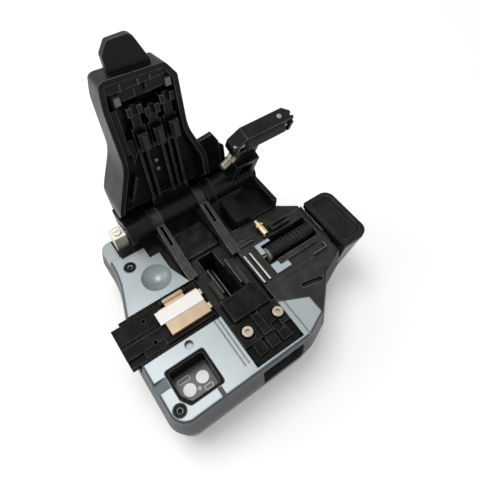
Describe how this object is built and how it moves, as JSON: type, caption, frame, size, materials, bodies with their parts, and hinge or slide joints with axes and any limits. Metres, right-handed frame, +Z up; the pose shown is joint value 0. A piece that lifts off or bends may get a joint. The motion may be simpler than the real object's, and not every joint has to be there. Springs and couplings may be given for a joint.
{
  "type": "optical fibre cleaver",
  "caption": "Bench fibre cleaver with an open hinged lid, sliding round blade, clamps, roller arm, scrap collector with bin, and a ribbon fibre holder in its slot.",
  "frame": {"origin": "middle of the rest-pose bounding box, on the table under the feet", "axes": "+X along the fibre from the holder to the scrap bin, +Y to the hinge at the back, +Z up"},
  "size_m": [0.121, 0.105, 0.1228],
  "materials": {
    "grey_paint": "painted, satin",
    "black_casting": "black, matt",
    "black_plastic": "moulded, fine grain",
    "grey_bin": "smoked, moulded",
    "dark_plate": "printed",
    "rubber": "matt",
    "steel": "ground",
    "black_screw": "black oxide",
    "nickel": "satin nickel",
    "brass": "turned",
    "pale_plastic": "moulded",
    "clip_grey": "moulded",
    "beige_plastic": "moulded",
    "copper_anodise": "anodised, satin",
    "white_strip": "plain film"
  },
  "bodies": {
    "base": {"top_cover": "grey_paint", "bottom_cover": "black_plastic", "rubber_feet": "rubber", "bottom_screws": "black_screw", "deck_screws": "black_screw", "window_liner": "black_plastic", "window_plate": "dark_plate", "slot_liner": "black_plastic", "chassis": "black_casting", "left_hinge_bracket": "black_plastic", "right_hinge_bracket": "black_plastic", "floor_plate": "black_plastic", "hinge_tray": "black_plastic", "hinge_shaft": "steel", "stop_block": "nickel", "stop_screw": "nickel", "guide_rods": "steel", "lower_clamps": "black_plastic", "lower_pads": "rubber", "blade_guards": "black_plastic", "front_block": "black_plastic", "cap_screws": "steel", "side_housing": "black_plastic", "collector_frame": "black_plastic", "steel_rods": "steel", "pale_plates": "pale_plastic", "brass_bush": "brass", "slotted_fork": "black_plastic", "edge_strips": "steel", "gear_housing": "black_plastic"},
    "lid": {"lid_shell": "black_plastic", "lid_frame": "black_plastic", "lid_bar": "black_plastic", "lid_clips": "clip_grey", "lid_rivets": "steel", "clamp_guides": "black_plastic"},
    "left_clamp": {"left_clamp": "black_plastic", "left_clamp_pad": "rubber"},
    "right_clamp": {"right_clamp": "black_plastic", "right_clamp_pad": "rubber"},
    "anvil": {"anvil": "black_plastic", "anvil_tip": "steel"},
    "roller_arm": {"roller_arm": "black_plastic", "lift_pin": "steel", "arm_rivet": "steel", "upper_roller_shaft": "steel"},
    "upper_roller": {"upper_roller": "rubber"},
    "lower_roller": {"grooved_roller": "black_plastic", "roller_shaft": "steel", "roller_disc": "beige_plastic"},
    "blade_slider": {"blade_slider": "black_plastic", "blade_axle": "steel"},
    "blade": {"blade": "steel"},
    "scrap_bin": {"bin_container": "grey_bin"},
    "bin_cap": {"bin_cap": "black_plastic"},
    "fibre_holder": {"holder_base": "black_plastic", "holder_pin": "steel"},
    "holder_lid": {"holder_lid": "copper_anodise", "holder_strip": "white_strip"}
  },
  "joints": [
    {"name": "lid_hinge", "type": "hinge", "parent": "base", "child": "lid", "pos_m": [0.0012, 0.03311, 0.0404], "axis": [1, 0, 0], "range_deg": [0, 98]},
    {"name": "left_clamp_press", "type": "slide", "parent": "lid", "child": "left_clamp", "axis": [0, 0.9903, -0.1392], "range_m": [0, 0.0015], "stiffness_N_per_m": 400, "springref_m": -0.002},
    {"name": "right_clamp_press", "type": "slide", "parent": "lid", "child": "right_clamp", "axis": [0, 0.9903, -0.1392], "range_m": [0, 0.0015], "stiffness_N_per_m": 400, "springref_m": -0.002},
    {"name": "anvil_press", "type": "slide", "parent": "lid", "child": "anvil", "axis": [0, 0.9903, -0.1392], "range_m": [0, 0.0015], "stiffness_N_per_m": 400, "springref_m": -0.002},
    {"name": "arm_hinge", "type": "hinge", "parent": "base", "child": "roller_arm", "pos_m": [0.0012, 0.03311, 0.0404], "axis": [1, 0, 0], "range_deg": [0, 72]},
    {"name": "upper_roller_spin", "type": "hinge", "parent": "roller_arm", "child": "upper_roller", "pos_m": [0.0012, 0.01809, 0.07853], "axis": [1, 0, 0], "continuous": true},
    {"name": "lower_roller_spin", "type": "hinge", "parent": "base", "child": "lower_roller", "pos_m": [0.0012, -0.00779, 0.0305], "axis": [1, 0, 0], "continuous": true},
    {"name": "blade_slide", "type": "slide", "parent": "base", "child": "blade_slider", "axis": [0, 1, 0], "range_m": [0, 0.021]},
    {"name": "blade_turn", "type": "hinge", "parent": "blade_slider", "child": "blade", "pos_m": [-0.0077, -0.02079, 0.0267], "axis": [1, 0, 0], "continuous": true},
    {"name": "bin_slide", "type": "slide", "parent": "base", "child": "scrap_bin", "axis": [1, 0, 0], "range_m": [0, 0.02]},
    {"name": "bin_cap_lift", "type": "slide", "parent": "scrap_bin", "child": "bin_cap", "axis": [0, 0, 1], "range_m": [0, 0.012]},
    {"name": "holder_lift", "type": "slide", "parent": "base", "child": "fibre_holder", "axis": [0, 0, -1], "range_m": [-0.012, 0]},
    {"name": "holder_lid_hinge", "type": "hinge", "parent": "fibre_holder", "child": "holder_lid", "pos_m": [-0.032, -0.00349, 0.036], "axis": [1, 0, 0], "range_deg": [-110, 0]}
  ],
  "couplings": [
    {"joint": "arm_hinge", "follows": "lid_hinge", "ratio": 0.73469}
  ]
}
